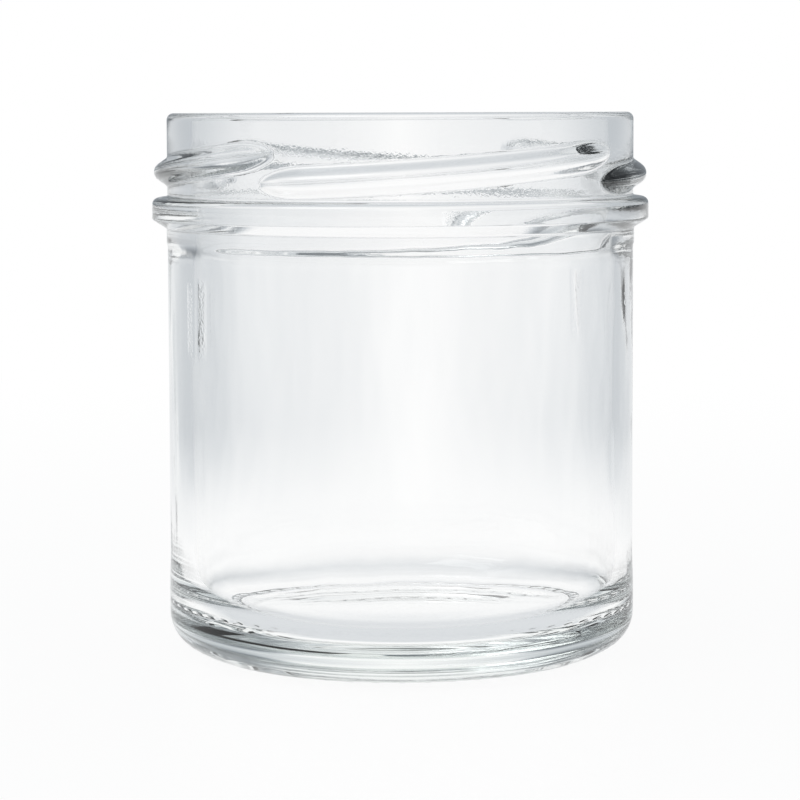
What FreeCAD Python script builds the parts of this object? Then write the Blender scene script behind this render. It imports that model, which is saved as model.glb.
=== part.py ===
"""Straight-sided clear glass food jar with a four-lug twist-off finish.

The jar is one piece of blown glass, so it is one body.  Its origin is the centre of the
ring it stands on, +Z goes up through the mouth, and -Y is its front.  Lengths are
millimetres and angles are degrees.

The body is built in three steps:
    the turned glass    outside, cavity and push-up, each an outline turned about Z
    one lug             a ramp lofted round the finish, which a lid's tab slides under
    the ring of lugs    that ramp repeated evenly about Z
"""

import FreeCAD, Part
import math
import os
import Sketcher

SIZES = {
    # outside of the body
    "jar_height": 72.6,
    "body_diameter": 62.86,
    "heel_drop": 2.9,
    "heel_radius": 4.7,
    # foot: the ring the jar stands on and the push-up inside it
    "foot_inset": 4.63,
    "foot_width": 3.4,
    "foot_radius": 0.5,
    "pushup_rise": 0.9,
    "pushup_slope": 0.8,
    "pushup_dome": 0.9,
    "pushup_radius": 0.5,
    # label panel: a shallow recess between two contact bands
    "panel_recess": 0.13,
    "panel_top_depth": 17.4,
    "panel_top_step": 0.3,
    "panel_bottom_height": 13.1,
    "panel_bottom_step": 3.4,
    # transfer bead under the finish, its depth measured down from the rim
    "bead_reach": 2.05,
    "bead_depth": 11.35,
    "bead_shelf_fall": 0.2,
    "bead_face": 2.8,
    "bead_slant": 1.2,
    "bead_radius": 0.9,
    "bead_edge_radius": 0.4,
    "bead_root_radius": 0.5,
    # finish and lip
    "finish_diameter": 62.6,
    "finish_wall": 3.3,
    "lip_outer_radius": 0.9,
    "lip_inner_radius": 1.1,
    # cavity
    "wall_thickness": 3.2,
    "neck_slope": 3.0,
    "floor_thickness": 4.6,
    "floor_dome": 0.6,
    "floor_radius": 6.5,
    # lugs
    "lug_count": 4,
    "lug_lap": 3.0,
    "lug_start": -124.0,
    "lug_reach": 1.75,
    "lug_crest_radius": 1.2,
    "lug_flank": 35.0,
    "lug_high_depth": 5.2,
    "lug_drop": 3.8,
    "lug_lead": 0.56,
    "lug_nose": 11.0,
}

LUG_ROOT = 1.0  # how deep a lug's back lies in the wall
LUG_SINK = 0.25  # how far a lug's crest would sink if its nose ran out to nothing
LUG_TIP = 0.1  # the nose stops at this share of the lug's full section
NOSE_STEPS = 4
RAMP_STEPS = 8


# ---------------------------------------------------------------- sizes and formulas


def make_sheet(doc):
    """The driving sizes, one alias a row."""
    sheet = doc.addObject("Spreadsheet::Sheet", "Sizes")
    for row, (alias, value) in enumerate(SIZES.items(), start=1):
        sheet.set(f"A{row}", alias)
        sheet.set(f"B{row}", str(value))
        sheet.setAlias(f"B{row}", alias)
    doc.recompute()
    return sheet


def amount(sheet, terms):
    """The length that {alias: factor} adds up to."""
    return sum(factor * float(sheet.get(alias)) for alias, factor in terms.items())


def formula(terms):
    """The same sum as an expression of the sheet's cells."""
    return " + ".join(f"{factor} * Sizes.{alias}" for alias, factor in terms.items())


BODY = {"body_diameter": 0.5}
PANEL = {**BODY, "panel_recess": -1}
INNER = {**BODY, "wall_thickness": -1}
FOOT = {**BODY, "foot_inset": -1}
FOOT_INSIDE = {**FOOT, "foot_width": -1}
PUSHUP_EDGE = {**FOOT_INSIDE, "pushup_slope": -1}
FINISH = {"finish_diameter": 0.5}
BEAD = {**FINISH, "bead_reach": 1}
MOUTH = {**FINISH, "finish_wall": -1}
AXIS = {}
GROUND = {}
RIM = {"jar_height": 1}
SHELF = {**RIM, "bead_depth": -1}
BEAD_FOOT = {**SHELF, "bead_face": -1}
NECK_BASE = {**BEAD_FOOT, "bead_slant": -1}
PANEL_TOP = {**RIM, "panel_top_depth": -1}
PANEL_BOTTOM = {"panel_bottom_height": 1}
FLOOR = {"floor_thickness": 1}
CEILING = {"pushup_rise": 1}

# Outlines are (corner, radius, height), drawn round in order.  A corner marked as a
# dome is joined to the one before it by an arc with its centre on the axis.
OUTSIDE = (
    ("axis_foot", AXIS, GROUND),
    ("foot_edge", FOOT, GROUND),
    ("heel", BODY, {"heel_drop": 1}),
    ("low_band", BODY, {**PANEL_BOTTOM, "panel_bottom_step": -1}),
    ("panel_bottom", PANEL, PANEL_BOTTOM),
    ("panel_top", PANEL, {**PANEL_TOP, "panel_top_step": -1}),
    ("high_band", BODY, PANEL_TOP),
    ("bead_root", BODY, NECK_BASE),
    ("bead_edge", BEAD, BEAD_FOOT),
    ("bead_crest", BEAD, SHELF),
    ("bead_shelf", FINISH, {**SHELF, "bead_shelf_fall": 1}),
    ("lip_outer", FINISH, RIM),
    ("axis_rim", AXIS, RIM),
)
CAVITY = (
    ("axis_mouth", AXIS, RIM),
    ("lip_inner", MOUTH, RIM),
    ("neck", MOUTH, {**NECK_BASE, "neck_slope": 1}),
    ("shoulder", INNER, NECK_BASE),
    ("floor_edge", INNER, FLOOR),
    ("floor_dome", AXIS, {**FLOOR, "floor_dome": 1}),
)
PUSHUP = (
    ("axis_ground", AXIS, GROUND),
    ("foot_inside", FOOT_INSIDE, GROUND),
    ("pushup_edge", PUSHUP_EDGE, CEILING),
    ("pushup_dome", AXIS, {**CEILING, "pushup_dome": 1}),
)
DOMES = ("floor_dome", "pushup_dome")

# The rounded corners and the size that sets each one's radius.  Those of the outside are
# arcs of its sketch.  Those that the cuts leave are ring edges, which get fillets.
ROUNDED_OUTSIDE = {
    "foot_edge": "foot_radius",
    "heel": "heel_radius",
    "bead_root": "bead_root_radius",
    "bead_edge": "bead_edge_radius",
    "bead_crest": "bead_radius",
    "bead_shelf": "bead_root_radius",
    "lip_outer": "lip_outer_radius",
}
ROUNDED_CUTS = {
    "lip_inner": "lip_inner_radius",
    "floor_edge": "floor_radius",
    "foot_inside": "foot_radius",
    "pushup_edge": "pushup_radius",
}


# ---------------------------------------------------------------- sketch helpers


def new_sketch(body, name, azimuth=0.0):
    """A sketch on a half-plane from the axis: its x is the radius, its y the height."""
    plane = next(f for f in body.Origin.OriginFeatures if f.Role == "XZ_Plane")
    sketch = body.newObject("Sketcher::SketchObject", name)
    sketch.AttachmentSupport = [(plane, "")]
    sketch.MapMode = "FlatFace"
    turned = FreeCAD.Rotation(FreeCAD.Vector(0, 1, 0), azimuth)
    sketch.AttachmentOffset = FreeCAD.Placement(FreeCAD.Vector(0, 0, 0), turned)
    return sketch


def size_by(sketch, kind, where, value, name, expression):
    """A dimension of that kind on those points, bound to an expression."""
    at = sketch.addConstraint(Sketcher.Constraint(kind, *where, value))
    sketch.renameConstraint(at, name)
    sketch.setExpression(f"Constraints.{name}", expression)


def place_point(sketch, sheet, at, name, radius, height):
    """Fixes one point's radius and height, each by its terms or on its axis if none."""
    for kind, terms, axis in (("X", radius, -2), ("Y", height, -1)):
        if terms:
            value = amount(sheet, terms)
            constraint = f"{name}_{kind.lower()}"
            size_by(sketch, f"Distance{kind}", (-1, 1, *at), value, constraint, formula(terms))
        else:
            sketch.addConstraint(Sketcher.Constraint("PointOnObject", *at, axis))


def domed_side(start, apex):
    """The arc from start up or down to apex that has its centre on the axis."""
    rise = apex.y - start.y
    radius = (start.x**2 + rise**2) / (2 * rise)
    centre = FreeCAD.Vector(0, apex.y - radius, 0)
    circle = Part.Circle(centre, FreeCAD.Vector(0, 0, 1), radius)
    return Part.ArcOfCircle(circle, math.atan2(start.y - centre.y, start.x), math.pi / 2)


def round_corner(sheet, sketch, side, corner, alias):
    """Rounds the start of that side with a tangent arc; the sharp corner stays as a point
    that keeps its place."""
    radius = amount(sheet, {alias: 1})
    arc = sketch.GeometryCount
    sketch.fillet(side, 1, radius, True, True)
    size_by(sketch, "Radius", (arc,), radius, f"{corner}_round", f"Sizes.{alias}")


def draw_outline(doc, sheet, body, name, corners):
    """A sketch of one closed outline, with each corner placed and rounded by the sheet."""
    sketch = new_sketch(body, name)
    points = [FreeCAD.Vector(amount(sheet, r), amount(sheet, h), 0) for _, r, h in corners]
    count = len(corners)
    for i in range(count):
        following = (i + 1) % count
        if corners[following][0] in DOMES:
            sketch.addGeometry(domed_side(points[i], points[following]), False)
            sketch.addConstraint(Sketcher.Constraint("PointOnObject", i, 3, -2))
        else:
            sketch.addGeometry(Part.LineSegment(points[i], points[following]), False)
    for i in range(count):
        sketch.addConstraint(Sketcher.Constraint("Coincident", i, 2, (i + 1) % count, 1))
    for i, (corner, radius, height) in enumerate(corners):
        place_point(sketch, sheet, (i, 1), corner, radius, height)
    doc.recompute()
    for i, (corner, _, _) in enumerate(corners):
        if corner in ROUNDED_OUTSIDE:
            round_corner(sheet, sketch, i, corner, ROUNDED_OUTSIDE[corner])
    doc.recompute()
    return sketch


# ---------------------------------------------------------------- the turned glass


def turn(doc, body, kind, name, sketch):
    """A full Revolution, or a Groove, of the sketch about the jar's axis."""
    feature = body.newObject(f"PartDesign::{kind}", name)
    feature.Profile = sketch
    feature.ReferenceAxis = (sketch, ["V_Axis"])
    feature.Angle = 360.0
    doc.recompute()
    return feature


def ring_edge(shape, radius, height):
    """The name of the circular edge about the axis at that radius and height."""
    for number, edge in enumerate(shape.Edges, start=1):
        if edge.Degenerated or not isinstance(edge.Curve, Part.Circle):
            continue
        if math.isclose(edge.Curve.Radius, radius, abs_tol=1e-4):
            if math.isclose(edge.Curve.Center.z, height, abs_tol=1e-4):
                return f"Edge{number}"
    raise ValueError(f"no ring edge of radius {radius} at height {height}")


def round_cuts(doc, sheet, body):
    """Rounds the ring edges that the cavity and the push-up leave."""
    places = {name: (radius, height) for name, radius, height in CAVITY + PUSHUP}
    for corner, alias in ROUNDED_CUTS.items():
        base = body.Tip
        radius, height = places[corner]
        edge = ring_edge(base.Shape, amount(sheet, radius), amount(sheet, height))
        fillet = body.newObject("PartDesign::Fillet", f"{corner}_fillet")
        fillet.Base = (base, [edge])
        fillet.setExpression("Radius", f"Sizes.{alias}")
        doc.recompute()


def turned_glass(doc, sheet, body):
    """The outside, then the cavity and the push-up cut out of it."""
    outside = draw_outline(doc, sheet, body, "outside", OUTSIDE)
    turn(doc, body, "Revolution", "turned_outside", outside)
    cavity = draw_outline(doc, sheet, body, "cavity", CAVITY)
    turn(doc, body, "Groove", "hollowed_cavity", cavity)
    pushup = draw_outline(doc, sheet, body, "pushup", PUSHUP)
    turn(doc, body, "Groove", "raised_pushup", pushup)
    round_cuts(doc, sheet, body)


# ---------------------------------------------------------------- the lugs


def lug_stations(sheet):
    """(azimuth, share of the full section, share of the way up) along one lug.

    The ramp is full between its two noses, and each nose is a quarter of an ellipse."""
    start = amount(sheet, {"lug_start": 1})
    span = 360.0 / amount(sheet, {"lug_count": 1}) + amount(sheet, {"lug_lap": 1})
    nose = amount(sheet, {"lug_nose": 1})
    low_nose = []
    for step in range(NOSE_STEPS):
        turn_angle = math.pi / 2 * step / NOSE_STEPS
        share = max(LUG_TIP, math.sin(turn_angle))
        low_nose.append((nose * (1 - math.cos(turn_angle)), share))
    ramp = [(nose + (span - 2 * nose) * i / RAMP_STEPS, 1.0) for i in range(RAMP_STEPS + 1)]
    high_nose = [(span - along, share) for along, share in reversed(low_nose)]
    stations = low_nose + ramp + high_nose
    return [(start + along, share, along / span) for along, share in stations]


def lug_height(sheet, way):
    """Terms for the height of a lug's centre line, at that share of the way up it.
    The ramp is gentle at its low end, where the lid seats, and steeper at the other."""
    lead = amount(sheet, {"lug_lead": 1})
    risen = lead * way + (1 - lead) * way**2
    return {"jar_height": 1, "lug_high_depth": -1, "lug_drop": risen - 1}


def lug_section(doc, sheet, body, number, azimuth, share, way):
    """One section across a lug: a round crest between two flanks, its back in the wall."""
    sketch = new_sketch(body, f"lug_section_{number}", azimuth)
    flank = math.radians(amount(sheet, {"lug_flank": 1}))
    wall = amount(sheet, FINISH)
    back = wall - LUG_ROOT
    round_radius = share * amount(sheet, {"lug_crest_radius": 1})
    crest_terms = {**FINISH, "lug_reach": share}
    sink = LUG_SINK * (1 - share)
    crest = amount(sheet, crest_terms) - sink
    height_terms = lug_height(sheet, way)
    height = amount(sheet, height_terms)
    centre = FreeCAD.Vector(crest - round_radius, height, 0)
    out = round_radius * math.sin(flank)
    up = round_radius * math.cos(flank)
    reach = (centre.x + out - back) / math.cos(flank)
    half_back = up + reach * math.sin(flank)

    low = FreeCAD.Vector(back, height - half_back, 0)
    high = FreeCAD.Vector(back, height + half_back, 0)
    low_shoulder = FreeCAD.Vector(centre.x + out, height - up, 0)
    high_shoulder = FreeCAD.Vector(centre.x + out, height + up, 0)
    circle = Part.Circle(centre, FreeCAD.Vector(0, 0, 1), round_radius)
    from_angle, to_angle = flank - math.pi / 2, math.pi / 2 - flank
    sketch.addGeometry(Part.LineSegment(low, low_shoulder), False)
    sketch.addGeometry(Part.ArcOfCircle(circle, from_angle, to_angle), False)
    sketch.addGeometry(Part.LineSegment(high_shoulder, high), False)
    sketch.addGeometry(Part.LineSegment(high, low), False)

    sketch.addConstraint(Sketcher.Constraint("Tangent", 0, 2, 1, 1))
    sketch.addConstraint(Sketcher.Constraint("Tangent", 1, 2, 2, 1))
    sketch.addConstraint(Sketcher.Constraint("Coincident", 2, 2, 3, 1))
    sketch.addConstraint(Sketcher.Constraint("Coincident", 3, 2, 0, 1))
    sketch.addConstraint(Sketcher.Constraint("Vertical", 3))
    sketch.addConstraint(Sketcher.Constraint("Equal", 0, 2))
    back_formula = f"{formula(FINISH)} - {LUG_ROOT}"
    size_by(sketch, "DistanceX", (-1, 1, 3, 1), back, "back", back_formula)
    crest_formula = f"{share} * Sizes.lug_crest_radius"
    size_by(sketch, "Radius", (1,), round_radius, "crest_radius", crest_formula)
    centre_formula = f"{formula(crest_terms)} - {sink} - {crest_formula}"
    size_by(sketch, "DistanceX", (-1, 1, 1, 3), centre.x, "crest", centre_formula)
    size_by(sketch, "DistanceY", (-1, 1, 1, 3), height, "centre", formula(height_terms))
    size_by(sketch, "Angle", (0,), flank, "flank", "Sizes.lug_flank * 1 deg")
    doc.recompute()
    return sketch


def ring_of_lugs(doc, sheet, body):
    """Lofts one lug through its sections and repeats it about the axis."""
    sections = []
    for number, (azimuth, share, way) in enumerate(lug_stations(sheet), start=1):
        sections.append(lug_section(doc, sheet, body, number, azimuth, share, way))
    lug = body.newObject("PartDesign::AdditiveLoft", "lug")
    lug.Profile = sections[0]
    lug.Sections = sections[1:]
    lug.Ruled = False
    doc.recompute()
    ring = body.newObject("PartDesign::PolarPattern", "ring_of_lugs")
    ring.Originals = [lug]
    axis = next(f for f in body.Origin.OriginFeatures if f.Role == "Z_Axis")
    ring.Axis = (axis, [""])
    ring.Angle = 360.0
    ring.setExpression("Occurrences", "Sizes.lug_count")
    body.Tip = ring
    doc.recompute()


# ---------------------------------------------------------------- the part


def check(doc):
    """Stops at any object that failed to build."""
    for item in doc.Objects:
        if "Invalid" in item.State or "Error" in item.State:
            raise RuntimeError(f"{item.Name} did not build: {item.State}")
        shape = getattr(item, "Shape", None)
        if item.isDerivedFrom("PartDesign::Feature") and (shape.isNull() or not shape.isValid()):
            raise RuntimeError(f"{item.Name} has no valid shape")


def main():
    os.makedirs("parts", exist_ok=True)
    doc = FreeCAD.newDocument("GlassJar")
    sheet = make_sheet(doc)
    jar = doc.addObject("PartDesign::Body", "jar")
    jar.Label = "jar"
    turned_glass(doc, sheet, jar)
    ring_of_lugs(doc, sheet, jar)
    check(doc)
    if len(jar.Shape.Solids) != 1:
        raise RuntimeError(f"the jar is {len(jar.Shape.Solids)} solids, not one")
    jar.Shape.exportStep("parts/jar.step")


main()
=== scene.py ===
"""The looks of the twist-off glass jar: its moulded glass, a plain white set and the camera."""

import math

import bpy
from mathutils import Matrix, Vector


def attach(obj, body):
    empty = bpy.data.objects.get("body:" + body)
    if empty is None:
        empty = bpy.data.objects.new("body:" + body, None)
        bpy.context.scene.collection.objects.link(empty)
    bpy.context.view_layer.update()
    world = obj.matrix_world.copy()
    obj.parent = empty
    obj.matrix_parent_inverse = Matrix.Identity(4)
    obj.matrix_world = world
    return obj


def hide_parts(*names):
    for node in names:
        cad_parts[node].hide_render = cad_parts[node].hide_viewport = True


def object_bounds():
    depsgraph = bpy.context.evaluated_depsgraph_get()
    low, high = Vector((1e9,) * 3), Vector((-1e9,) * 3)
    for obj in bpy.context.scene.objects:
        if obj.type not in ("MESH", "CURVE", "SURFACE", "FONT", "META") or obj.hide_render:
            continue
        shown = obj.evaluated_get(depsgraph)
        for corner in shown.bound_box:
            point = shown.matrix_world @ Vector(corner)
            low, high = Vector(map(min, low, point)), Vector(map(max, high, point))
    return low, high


MM = 0.001

# Outline, in millimetres: radii, heights from the ground and depths from the rim.
BODY_RADIUS = 31.43
PANEL_RADIUS = 31.3
FOOT_RADIUS = 26.8
FOOT_INSIDE = 23.4
HEEL_START = 2.9
HEEL_ROUND = 4.7
PANEL_LOW = (9.7, 13.1)
PANEL_HIGH = (17.7, 17.4)
BEAD_ROOT_DEPTH = 15.35
BEAD_EDGE_DEPTH = 14.15
BEAD_CREST_DEPTH = 11.35
BEAD_SHELF_DEPTH = 11.15
MOUTH_RADIUS = 28.0
NECK_DEPTH = 12.35
INNER_RADIUS = 27.95
FLOOR_HEIGHT = 4.6
FLOOR_ROUND = 6.5
FLOOR_DOME = 0.6
PUSHUP_RADIUS = 15.0
PUSHUP_RISE = 0.6
PUSHUP_DOME = 0.6

# What rounds the outline's corners, in millimetres.
PUSHUP_ROUND = 100.0
FOOT_INSIDE_ROUND = 40.0
FOOT_ROUND = 0.5
BEAD_ROOT_ROUND = 0.5
BEAD_EDGE_ROUND = 0.4
BEAD_CREST_ROUND = 0.9
SHELF_ROUND = 0.35
LIP_OUTER_ROUND = 0.9
LIP_INNER_ROUND = 1.1

# The helical lugs of the finish, each with a low and a high nose.
LUG_COUNT = 4
LUG_START = math.radians(-124.0)
LUG_SPAN = math.radians(93.0)
LUG_NOSE = math.radians(11.0)
LUG_REACH = 1.75
LUG_CREST = 1.2
LUG_FLANK = math.radians(35.0)
LUG_HIGH_DEPTH = 5.2
LUG_DROP = 3.8
LUG_LEAD = 0.56
LUG_SINK = 0.25
LUG_ROOT_ROUND = 0.35
LUG_LEAST_SHARE = 0.02
LUG_LEDGE = 0.3
NO_LUG = -1.0

# The knurled ring that the jar stands on.
KNURL_COUNT = 48
KNURL_DEPTH = 0.35
KNURL_RING = 25.3
KNURL_WIDTH = 0.5
KNURL_BOW = 1.5
KNURL_TOP = 1.2
KNURL_FADE_IN = (22.9, 24.0)
KNURL_FADE_OUT = (27.0, 28.6)

# How evenly the glass was blown: how far the cavity lies aside, and the waves round its wall. Each
# lean is the height, in millimetres, in which the wave moves on by one radian.
CAVITY_SHIFT = 0.6
WALL_WAVE = 0.12
SMALL_WAVE = 0.6
WAVE_START = 0.6
WAVE_LEAN = 31.0
SMALL_WAVE_LEAN = 23.0

# The glass itself. Absorption is per metre.
GLASS_IOR = 1.52
GLASS_TINT = (0.62, 0.8, 0.7, 1.0)
GLASS_ABSORPTION = 2.2

# Surface marks, in metres: a band is four heights, a noise its scale and detail, and a bump its
# strength and distance.
WALL_BAND = (0.008, 0.016, 0.052, 0.058)
WALL_STRETCH = (1.0, 1.0, 0.3)
WALL_NOISE = (120.0, 2.0)
WALL_BUMP = (0.6, 0.0003)
SEAM_BAND = (0.0395, 0.0435, 0.0495, 0.0515)
SEAM_WIDTH = (0.0004, 0.0012)
SEAM_ANGLE = math.radians(-60.6)
SEAM_NOISE = (2200.0, 3.0)
SEAM_BUMP = (0.8, 0.00012)
FINISH_BAND = (0.0575, 0.0625, 0.068, 0.0705)
FINISH_NOISE = (2600.0, 2.0)
FINISH_BUMP = (0.3, 0.00002)
HAZE_NOISE = (90.0, 4.0)
HAZE_RANGE = (0.5, 0.8)
HAZE_ROUGHNESS = 0.02

# The set's plain levels, where 1 is white. Front is the camera's side.
AMBIENT_LEVEL = 0.8
MIRRORED_LEVEL = 0.4
OVERHEAD_LEVEL = 0.95
CORNER_LEVEL = 0.62
HIGH_FRONT_LEVEL = 0.12
HIGH_CORNER_LEVEL = 0.2
# The next two are the floor's painted levels in the glass: painted shade where it is seen from
# above, and painted light under the jar.
STEEP_PAINTED_SHADE = 0.65
PAINTED_LIGHT_BELOW = 0.75
COOL_WHITE = (0.75, 0.88, 1.0, 1.0)
WHITE = (1.0, 1.0, 1.0, 1.0)

# Where the room's levels change, as parts of a unit direction.
FRONT_TO_REAR = (-0.6, 0.6)
HIGH_CORNER = (0.6, 0.9)
PANEL_TOP = (0.12, 0.35)
CEILING = (0.75, 0.93)

# The floor: distances from its middle in metres, and how much of it is plain instead of shaded.
FLOOR_COLOR = (0.9, 0.9, 0.9, 1.0)
FLOOR_ROUGHNESS = 0.35
FLOOR_REACH = 4.0
# Where the floor's painted dim corners, painted light under the jar and painted sheen in the glass
# change.
FLOOR_CORNERS = (0.08, 0.3)
FLOOR_BELOW = (0.032, 0.045)
PAINTED_SHEEN_RANGE = (0.3, 0.7)
SHADOW_REACH = (0.04, 0.4)
PLAIN_TO_CAMERA = (0.93, 1.0)
PLAIN_MIRRORED = 0.6

# The one lamp, for the soft shadow, in metres and watts.
KEY_PLACE = (-0.5, -0.4, 0.9)
KEY_SIZE = 0.6
KEY_POWER = 2.0

# The camera: metres from the jar's axis, millimetres of lens, and shift in widths of the frame.
CAMERA_DISTANCE = 0.379
CAMERA_LENS = 126.4
CAMERA_SHIFT = -0.08
CAMERA_PITCH = math.radians(90.0 - 4.55)
CAMERA_ROLL = math.radians(0.2)

# How finely the skin is cut: points in a ring, the turn of an arc's step, and rows in millimetres,
# which are fine outside the lugs' zone radius and within the foot's zone.
SEGMENTS = 432
ARC_STEP = math.radians(9.0)
LUG_ROW = 0.21
LUG_ZONE_RADIUS = 30.0
FOOT_ROW = 0.28
FOOT_ZONE_RADIUS = 22.4
FOOT_ZONE_TOP = 0.3
WALL_ROW = 2.4
FLOOR_ROW = 2.4


def rounded(corners):
    """The outline through (r, z, rounding) corners, each rounding a tangent arc."""
    path = [corners[0][:2]]
    for before, corner, after in zip(corners, corners[1:], corners[2:]):
        path.extend(corner_arc(before, corner, after))
    path.append(corners[-1][:2])
    return path


def corner_arc(before, corner, after):
    """Points of the arc that rounds one corner, or the corner itself where it is sharp."""
    r, z, radius = corner
    if radius == 0.0:
        return [(r, z)]
    into = math.atan2(z - before[1], r - before[0])
    away = math.atan2(after[1] - z, after[0] - r)
    turn = math.remainder(away - into, math.tau)
    setback = radius * math.tan(abs(turn) / 2.0)
    side = math.copysign(1.0, turn)
    start = (r - setback * math.cos(into), z - setback * math.sin(into))
    centre = (start[0] - side * radius * math.sin(into), start[1] + side * radius * math.cos(into))
    steps = max(2, math.ceil(abs(turn) / ARC_STEP))
    points = []
    for step in range(steps + 1):
        angle = into + turn * step / steps
        points.append((
            centre[0] + side * radius * math.sin(angle),
            centre[1] - side * radius * math.cos(angle),
        ))
    return points


def split_long(path, height):
    """The path with its long runs cut up, finely where the lugs and the foot need it."""
    fine = [path[0]]
    for (r0, z0), (r1, z1) in zip(path, path[1:]):
        length = math.hypot(r1 - r0, z1 - z0)
        middle_z = (z0 + z1) / 2.0
        if min(r0, r1) > LUG_ZONE_RADIUS and middle_z > height - BEAD_SHELF_DEPTH:
            row = LUG_ROW
        elif min(r0, r1) > FOOT_ZONE_RADIUS and middle_z < FOOT_ZONE_TOP:
            row = FOOT_ROW
        elif abs(z1 - z0) < abs(r1 - r0):
            row = FLOOR_ROW
        else:
            row = WALL_ROW
        steps = max(1, math.ceil(length / row))
        for step in range(1, steps + 1):
            fine.append((r0 + (r1 - r0) * step / steps, z0 + (z1 - z0) * step / steps))
    return fine


def outside_outline(height, bead_radius):
    """From the middle of the underside, over the foot, wall and bead, to the rim."""
    return [
        (0.0, PUSHUP_RISE, 0.0),
        (PUSHUP_RADIUS, PUSHUP_RISE, PUSHUP_ROUND),
        (FOOT_INSIDE, 0.0, FOOT_INSIDE_ROUND),
        (FOOT_RADIUS, 0.0, FOOT_ROUND),
        (BODY_RADIUS, HEEL_START, HEEL_ROUND),
        (BODY_RADIUS, PANEL_LOW[0], 0.0),
        (PANEL_RADIUS, PANEL_LOW[1], 0.0),
        (PANEL_RADIUS, height - PANEL_HIGH[0], 0.0),
        (BODY_RADIUS, height - PANEL_HIGH[1], 0.0),
        (BODY_RADIUS, height - BEAD_ROOT_DEPTH, BEAD_ROOT_ROUND),
        (bead_radius, height - BEAD_EDGE_DEPTH, BEAD_EDGE_ROUND),
        (bead_radius, height - BEAD_CREST_DEPTH, BEAD_CREST_ROUND),
        (PANEL_RADIUS, height - BEAD_SHELF_DEPTH, SHELF_ROUND),
        (PANEL_RADIUS, height, LIP_OUTER_ROUND),
        (MOUTH_RADIUS, height, LIP_INNER_ROUND),
        (MOUTH_RADIUS, height - NECK_DEPTH, 0.0),
    ]


def inside_outline(height):
    """From the neck, down the inner wall, to the middle of the floor."""
    return [
        (INNER_RADIUS, height - BEAD_ROOT_DEPTH, 0.0),
        (INNER_RADIUS, FLOOR_HEIGHT, FLOOR_ROUND),
        (0.0, FLOOR_HEIGHT, 0.0),
    ]


def lug_section(offset, share):
    """How far a lug stands out at an offset from its centre line, negative beyond its foot."""
    if share < LUG_LEAST_SHARE:
        return NO_LUG
    away = abs(offset) / share
    tangent = LUG_CREST * math.cos(LUG_FLANK)
    if away < tangent:
        reach = LUG_REACH - LUG_CREST + math.sqrt(LUG_CREST**2 - away**2)
    else:
        shoulder = LUG_REACH - LUG_CREST + LUG_CREST * math.sin(LUG_FLANK)
        reach = shoulder - (away - tangent) / math.tan(LUG_FLANK)
    return share * reach - LUG_SINK * (1.0 - share)


def lug_relief(angle, z, height):
    """Outward relief of the finish at a point: the tallest lug there, with a soft root."""
    relief = NO_LUG
    for lug in range(LUG_COUNT):
        along = (angle - LUG_START - lug * math.tau / LUG_COUNT) % math.tau
        if along > LUG_SPAN:
            continue
        part = along / LUG_SPAN
        climb = LUG_LEAD * part + (1.0 - LUG_LEAD) * part**2
        centre = height - LUG_HIGH_DEPTH - LUG_DROP * (1.0 - climb)
        nose = min(1.0, along / LUG_NOSE, (LUG_SPAN - along) / LUG_NOSE)
        share = math.sqrt(max(0.0, 1.0 - (1.0 - nose)**2))
        relief = max(relief, lug_section(z - centre, share))
    blend = max(LUG_ROOT_ROUND - abs(relief), 0.0)
    return max(relief, 0.0) + blend**2 / (4.0 * LUG_ROOT_ROUND)


def knurl_lift(angle, r):
    """How far the standing ring is drawn in between its small crescent knurls."""
    around = math.remainder(angle * KNURL_COUNT, math.tau) / math.pi
    across = (r - KNURL_RING) / KNURL_WIDTH + KNURL_BOW * around**2
    knurl = math.exp(-across**2) * max(0.0, 1.0 - around**2)
    return KNURL_DEPTH * (1.0 - knurl)


def dome(r, edge, rise):
    """The rise of a shallow dome at a radius."""
    return rise * max(0.0, 1.0 - (r / edge)**2)


def smoothstep(low, high, value):
    """0 below low, 1 above high and a smooth change between."""
    part = min(1.0, max(0.0, (value - low) / (high - low)))
    return part * part * (3.0 - 2.0 * part)


def outside_point(r, z, angle, height):
    """A point of the outer skin, in millimetres, with its lugs, knurls and push-up."""
    if r < PUSHUP_RADIUS and z < height / 2.0:
        z += dome(r, PUSHUP_RADIUS, PUSHUP_DOME)
    elif z < KNURL_TOP and r > KNURL_FADE_IN[0]:
        fade_in = smoothstep(*KNURL_FADE_IN, r)
        fade_out = 1.0 - smoothstep(*KNURL_FADE_OUT, r)
        z += knurl_lift(angle, r) * fade_in * fade_out
    elif z > height - BEAD_SHELF_DEPTH + LUG_LEDGE and r > PANEL_RADIUS - 0.01:
        r += lug_relief(angle, z, height)
    return (r * math.cos(angle), r * math.sin(angle), z)


def inside_point(r, z, angle, height):
    """A point of the inner skin, in millimetres, uneven below the neck as a blown wall is."""
    blown = 1.0 - smoothstep(height - BEAD_ROOT_DEPTH, height - NECK_DEPTH, z)
    low = smoothstep(0.0, INNER_RADIUS, r)
    wave = math.sin(2.0 * angle + WAVE_START + z / WAVE_LEAN)
    wave += SMALL_WAVE * math.sin(3.0 * angle - z / SMALL_WAVE_LEAN)
    r += WALL_WAVE * wave * blown * low
    z += dome(r, INNER_RADIUS, FLOOR_DOME)
    return (r * math.cos(angle) + CAVITY_SHIFT * blown, r * math.sin(angle), z)


def jar_points(height, bead_radius):
    """The jar's rings of points, from the middle of its underside to the middle of its floor."""
    outside = split_long(rounded(outside_outline(height, bead_radius)), height)
    inside = split_long(rounded([outside[-1] + (0.0,)] + inside_outline(height)), height)[1:]
    angles = [math.tau * step / SEGMENTS for step in range(SEGMENTS)]
    rings = []
    for r, z in outside[1:]:
        rings.append([outside_point(r, z, angle, height) for angle in angles])
    for r, z in inside[:-1]:
        rings.append([inside_point(r, z, angle, height) for angle in angles])
    bottom = (0.0, 0.0, PUSHUP_RISE + PUSHUP_DOME)
    floor = (CAVITY_SHIFT, 0.0, FLOOR_HEIGHT + FLOOR_DOME)
    return bottom, rings, floor


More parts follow.
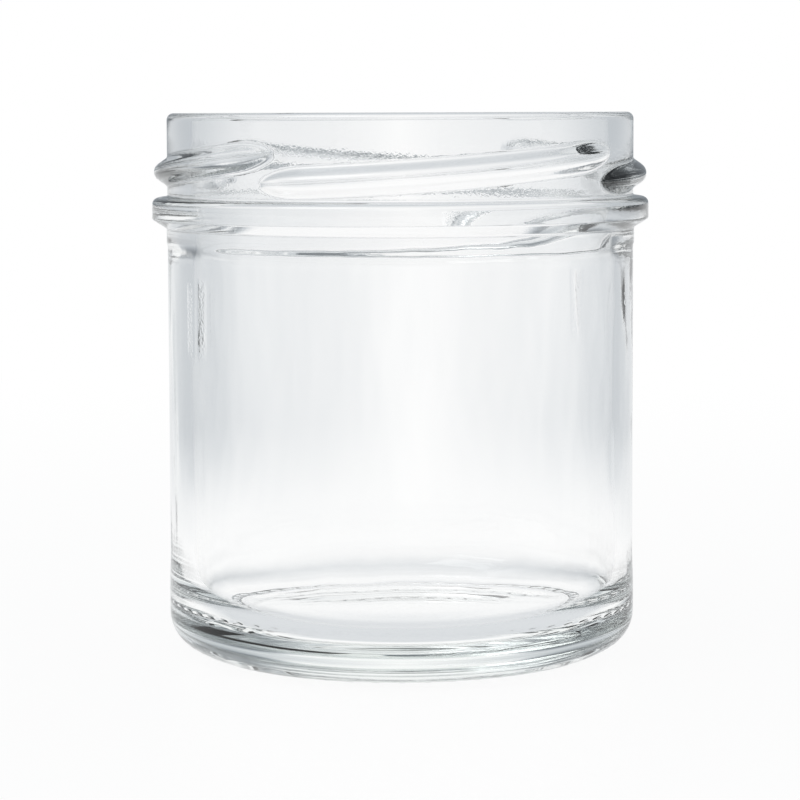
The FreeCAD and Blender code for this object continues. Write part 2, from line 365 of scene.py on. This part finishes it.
def ring_faces(ring_count):
    """Faces between neighbouring rings and the two fans at the middles, all facing outward."""
    def at(ring, step):
        return 1 + ring * SEGMENTS + step % SEGMENTS

    last = 1 + ring_count * SEGMENTS
    faces = []
    for step in range(SEGMENTS):
        faces.append((0, at(0, step + 1), at(0, step)))
        faces.append((last, at(ring_count - 1, step), at(ring_count - 1, step + 1)))
    for ring in range(ring_count - 1):
        for step in range(SEGMENTS):
            faces.append((
                at(ring, step),
                at(ring, step + 1),
                at(ring + 1, step + 1),
                at(ring + 1, step),
            ))
    return faces


def make_jar(low, high):
    """The jar as one closed skin of glass, as tall and as wide as the frame's box."""
    height = (high.z - low.z) / MM
    bead_radius = min(high.x - low.x, high.y - low.y) / 2.0 / MM
    bottom, rings, floor = jar_points(height, bead_radius)
    points = [bottom] + [point for ring in rings for point in ring] + [floor]
    centre = ((low.x + high.x) / 2.0, (low.y + high.y) / 2.0, low.z)
    placed = [tuple(c + MM * value for c, value in zip(centre, point)) for point in points]
    mesh = bpy.data.meshes.new("glass_jar")
    mesh.from_pydata(placed, [], ring_faces(len(rings)))
    mesh.shade_smooth()
    mesh.update()
    jar = bpy.data.objects.new("glass_jar", mesh)
    bpy.context.collection.objects.link(jar)
    return jar


def add_node(tree, kind, **values):
    """A new node with its sockets set by name; spaces in socket names are written as _."""
    node = tree.nodes.new(kind)
    for name, value in values.items():
        node.inputs[name.replace("_", " ")].default_value = value
    return node


def add_math(tree, operation, first, second):
    """A math node between two values or sockets; gives its output socket."""
    node = tree.nodes.new("ShaderNodeMath")
    node.operation = operation
    for socket, value in zip(node.inputs, (first, second)):
        if isinstance(value, bpy.types.NodeSocket):
            tree.links.new(value, socket)
        else:
            socket.default_value = value
    return node.outputs[0]


def add_mix(tree, factor, first, second):
    """first where factor is 0 and second where it is 1, as a number socket."""
    node = tree.nodes.new("ShaderNodeMix")
    # The second input is the factor of vector mixes, which isn't used.
    for socket, value in zip(node.inputs, (factor, None, first, second)):
        if isinstance(value, bpy.types.NodeSocket):
            tree.links.new(value, socket)
        elif value is not None:
            socket.default_value = value
    return node.outputs[0]


def add_range(tree, value, old, new):
    """value taken smoothly from the old range to the new one, and held at its ends."""
    node = tree.nodes.new("ShaderNodeMapRange")
    node.interpolation_type = "SMOOTHSTEP"
    tree.links.new(value, node.inputs["Value"])
    node.inputs["From Min"].default_value = old[0]
    node.inputs["From Max"].default_value = old[1]
    node.inputs["To Min"].default_value = new[0]
    node.inputs["To Max"].default_value = new[1]
    return node.outputs["Result"]


def glass_material():
    """Clear flint glass with a faint green body, a moulded ripple and a few dull marks."""
    material = bpy.data.materials.new("clear_flint_glass")
    material.use_nodes = True
    tree = material.node_tree
    shader = tree.nodes["Principled BSDF"]
    output = tree.nodes["Material Output"]
    shader.inputs["Base Color"].default_value = WHITE
    shader.inputs["Transmission Weight"].default_value = 1.0
    shader.inputs["IOR"].default_value = GLASS_IOR
    place = tree.nodes.new("ShaderNodeTexCoord").outputs["Object"]
    haze = add_noise(tree, place, HAZE_NOISE)
    roughness = add_range(tree, haze, HAZE_RANGE, (0.0, HAZE_ROUGHNESS))
    tree.links.new(roughness, shader.inputs["Roughness"])
    drawn = tree.nodes.new("ShaderNodeVectorMath")
    drawn.operation = "MULTIPLY"
    drawn.inputs[1].default_value = WALL_STRETCH
    tree.links.new(place, drawn.inputs[0])
    waves = add_noise(tree, drawn.outputs["Vector"], WALL_NOISE)
    waves = add_math(tree, "MULTIPLY", waves, height_band(tree, place, WALL_BAND))
    normal = add_bump(tree, waves, WALL_BUMP, None)
    normal = add_bump(tree, seam_marks(tree, place), SEAM_BUMP, normal)
    grain = add_noise(tree, place, FINISH_NOISE)
    grain = add_math(tree, "MULTIPLY", grain, height_band(tree, place, FINISH_BAND))
    normal = add_bump(tree, grain, FINISH_BUMP, normal)
    tree.links.new(normal, shader.inputs["Normal"])
    body = tree.nodes.new("ShaderNodeVolumeAbsorption")
    body.inputs["Color"].default_value = GLASS_TINT
    body.inputs["Density"].default_value = GLASS_ABSORPTION
    tree.links.new(body.outputs["Volume"], output.inputs["Volume"])
    return material


def seam_marks(tree, place):
    """The rough line where the mould halves meet, which shows in one band of heights only."""
    offset = tree.nodes.new("ShaderNodeVectorMath")
    offset.operation = "DOT_PRODUCT"
    offset.inputs[1].default_value = (math.cos(SEAM_ANGLE), math.sin(SEAM_ANGLE), 0.0)
    tree.links.new(place, offset.inputs[0])
    aside = add_math(tree, "ABSOLUTE", offset.outputs["Value"], 0.0)
    line = add_range(tree, aside, SEAM_WIDTH, (1.0, 0.0))
    rough = add_noise(tree, place, SEAM_NOISE)
    marks = add_math(tree, "MULTIPLY", line, rough)
    return add_math(tree, "MULTIPLY", marks, height_band(tree, place, SEAM_BAND))


def add_noise(tree, place, noise):
    """Fractal noise of a scale and detail over a place, as a number socket."""
    node = add_node(tree, "ShaderNodeTexNoise", Scale=noise[0], Detail=noise[1])
    tree.links.new(place, node.inputs["Vector"])
    return node.outputs[0]


def add_bump(tree, height, bump, under):
    """A bump of a strength and distance, laid over another normal where there is one."""
    node = add_node(tree, "ShaderNodeBump", Strength=bump[0], Distance=bump[1])
    tree.links.new(height, node.inputs["Height"])
    if under is not None:
        tree.links.new(under, node.inputs["Normal"])
    return node.outputs["Normal"]


def height_band(tree, place, band):
    """1 between the middle two of four heights and 0 beyond the outer two, with a smooth change."""
    split = tree.nodes.new("ShaderNodeSeparateXYZ")
    tree.links.new(place, split.inputs[0])
    above = add_range(tree, split.outputs["Z"], (band[0], band[1]), (0.0, 1.0))
    below = add_range(tree, split.outputs["Z"], (band[2], band[3]), (1.0, 0.0))
    return add_math(tree, "MULTIPLY", above, below)


def light_paths(tree):
    """Sockets that are 1 for camera rays, for rays through glass and for mirrored rays.

    The last is 1 for rays through glass too, so those are told apart after it.
    """
    path = tree.nodes.new("ShaderNodeLightPath")
    camera = path.outputs["Is Camera Ray"]
    through = path.outputs["Is Transmission Ray"]
    mirrored = path.outputs["Is Glossy Ray"]
    return camera, through, mirrored


def compass(tree, direction):
    """How far a direction points between the four panels, and how far it points to the rear."""
    flat = tree.nodes.new("ShaderNodeVectorMath")
    flat.operation = "MULTIPLY"
    flat.inputs[1].default_value = (1.0, 1.0, 0.0)
    tree.links.new(direction, flat.inputs[0])
    level = tree.nodes.new("ShaderNodeVectorMath")
    level.operation = "NORMALIZE"
    tree.links.new(flat.outputs["Vector"], level.inputs[0])
    split = tree.nodes.new("ShaderNodeSeparateXYZ")
    tree.links.new(level.outputs["Vector"], split.inputs[0])
    cross = add_math(tree, "MULTIPLY", split.outputs["X"], split.outputs["Y"])
    skew = add_math(tree, "MULTIPLY", add_math(tree, "ABSOLUTE", cross, 0.0), 2.0)
    return skew, split.outputs["Y"]


def make_world():
    """A white room: plain white to the camera, four white panels with dim corners in the glass."""
    world = bpy.data.worlds.new("white_room")
    bpy.context.scene.world = world
    world.use_nodes = True
    tree = world.node_tree
    background = tree.nodes["Background"]
    camera, through, mirrored = light_paths(tree)
    direction = tree.nodes.new("ShaderNodeTexCoord").outputs["Generated"]
    skew, rearward = compass(tree, direction)
    split = tree.nodes.new("ShaderNodeSeparateXYZ")
    tree.links.new(direction, split.inputs[0])
    upward = split.outputs["Z"]
    low = add_mix(tree, skew, 1.0, CORNER_LEVEL)
    high = add_range(tree, rearward, FRONT_TO_REAR, (HIGH_FRONT_LEVEL, 1.0))
    cornered = add_range(tree, skew, HIGH_CORNER, (0.0, 1.0))
    high = add_mix(tree, cornered, high, HIGH_CORNER_LEVEL)
    raised = add_range(tree, upward, PANEL_TOP, (0.0, 1.0))
    panels = add_mix(tree, raised, low, high)
    overhead = add_range(tree, upward, CEILING, (0.0, 1.0))
    panels = add_mix(tree, overhead, panels, OVERHEAD_LEVEL)
    level = add_mix(tree, mirrored, AMBIENT_LEVEL, MIRRORED_LEVEL)
    level = add_mix(tree, through, level, panels)
    level = add_mix(tree, camera, level, 1.0)
    tree.links.new(level, background.inputs["Strength"])
    tree.links.new(add_tint(tree, level), background.inputs["Color"])


def add_tint(tree, level):
    """White where the level is 1, and a little cooler where it is dimmer."""
    tint = tree.nodes.new("ShaderNodeMix")
    tint.data_type = "RGBA"
    # Inputs 6 and 7 and output 2 are the ones for colours.
    tree.links.new(level, tint.inputs[0])
    tint.inputs[6].default_value = COOL_WHITE
    tint.inputs[7].default_value = WHITE
    return tint.outputs[2]


def painted_floor_in_glass(tree, place, distance):
    """The painted level of the floor in the glass: a painted sheen along it, painted shade from
    above, painted dim corners further out and painted light under the jar.
    """
    skew, _ = compass(tree, place)
    far = add_range(tree, distance, FLOOR_CORNERS, (0.0, 1.0))
    # Painted shade: dimmer towards the corners further out.
    grazed = add_mix(tree, add_math(tree, "MULTIPLY", skew, far), 1.0, CORNER_LEVEL)
    # Painted sheen: full white where the glass looks along the floor, painted shade where it looks
    # down on it.
    facing = add_node(tree, "ShaderNodeLayerWeight", Blend=0.5).outputs["Facing"]
    painted_sheen = add_range(tree, facing, PAINTED_SHEEN_RANGE, (0.0, 1.0))
    level = add_mix(tree, painted_sheen, STEEP_PAINTED_SHADE, grazed)
    # Painted light on the floor under the jar, as if lit through the glass.
    below = add_range(tree, distance, FLOOR_BELOW, (PAINTED_LIGHT_BELOW, 0.0))
    return add_math(tree, "MAXIMUM", level, below)


def floor_material():
    """White and a little glossy: in the glass only a glow of painted light and shade, to the camera
    nearly plain white, and else shaded.
    """
    material = bpy.data.materials.new("white_floor")
    material.use_nodes = True
    tree = material.node_tree
    shader = tree.nodes["Principled BSDF"]
    shader.inputs["Base Color"].default_value = FLOOR_COLOR
    shader.inputs["Roughness"].default_value = FLOOR_ROUGHNESS
    camera, through, mirrored = light_paths(tree)
    place = tree.nodes.new("ShaderNodeTexCoord").outputs["Object"]
    length = tree.nodes.new("ShaderNodeVectorMath")
    length.operation = "LENGTH"
    tree.links.new(place, length.inputs[0])
    distance = length.outputs["Value"]
    seen = add_range(tree, distance, SHADOW_REACH, PLAIN_TO_CAMERA)
    share = add_math(tree, "MULTIPLY", mirrored, PLAIN_MIRRORED)
    share = add_mix(tree, camera, add_mix(tree, through, share, 1.0), seen)
    # To rays through the glass the glow is painted light and shade, a little cooler where dimmer;
    # to other rays it is plain white.
    level = add_mix(tree, through, 1.0, painted_floor_in_glass(tree, place, distance))
    glow = tree.nodes.new("ShaderNodeEmission")
    tree.links.new(level, glow.inputs["Strength"])
    tree.links.new(add_tint(tree, level), glow.inputs["Color"])
    mix = tree.nodes.new("ShaderNodeMixShader")
    tree.links.new(share, mix.inputs[0])
    tree.links.new(shader.outputs[0], mix.inputs[1])
    tree.links.new(glow.outputs[0], mix.inputs[2])
    tree.links.new(mix.outputs[0], tree.nodes["Material Output"].inputs["Surface"])
    return material


def make_floor(low):
    """A white floor that stays white far out and keeps a soft shadow round the jar."""
    bpy.ops.mesh.primitive_circle_add(
        vertices=96, radius=FLOOR_REACH, fill_type="NGON", location=(0.0, 0.0, low.z)
    )
    floor = bpy.context.object
    floor.name = "floor"
    floor.data.materials.append(floor_material())


def make_lamp(name, place, target, size, power):
    """A soft square lamp that shines at the target."""
    data = bpy.data.lights.new(name, "AREA")
    data.size = size
    data.energy = power
    lamp = bpy.data.objects.new(name, data)
    lamp.location = place
    lamp.rotation_euler = (target - lamp.location).to_track_quat("-Z", "Y").to_euler()
    bpy.context.collection.objects.link(lamp)


def make_camera(high):
    """A long lens level with the rim, aimed a little down, with a small shift to frame the jar."""
    data = bpy.data.cameras.new("camera")
    data.lens = CAMERA_LENS
    data.sensor_width = 36.0
    data.shift_y = CAMERA_SHIFT
    data.clip_start = 0.01
    camera = bpy.data.objects.new("camera", data)
    camera.location = (0.0, -CAMERA_DISTANCE, high.z)
    camera.rotation_euler = (CAMERA_PITCH, CAMERA_ROLL, 0.0)
    bpy.context.collection.objects.link(camera)
    bpy.context.scene.camera = camera


def main():
    """Builds the jar, its glass, the set and the camera."""
    scene = bpy.context.scene
    scene.view_settings.view_transform = "Standard"
    # The thick base bends and mirrors the light many times, and with fewer bounces it turns black.
    scene.cycles.max_bounces = 20
    scene.cycles.glossy_bounces = 14
    scene.cycles.transmission_bounces = 14
    low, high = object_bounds()
    jar = make_jar(low, high)
    jar.data.materials.append(glass_material())
    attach(jar, "root")
    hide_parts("jar")
    make_world()
    make_floor(low)
    middle = (low + high) / 2.0
    make_lamp("key", KEY_PLACE, middle, KEY_SIZE, KEY_POWER)
    make_camera(high)


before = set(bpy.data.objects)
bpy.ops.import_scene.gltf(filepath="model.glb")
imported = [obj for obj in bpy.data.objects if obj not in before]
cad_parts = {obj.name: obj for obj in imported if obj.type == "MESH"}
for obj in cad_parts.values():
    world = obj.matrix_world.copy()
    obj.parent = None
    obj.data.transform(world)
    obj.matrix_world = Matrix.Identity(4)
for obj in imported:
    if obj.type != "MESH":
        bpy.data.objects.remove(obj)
main()
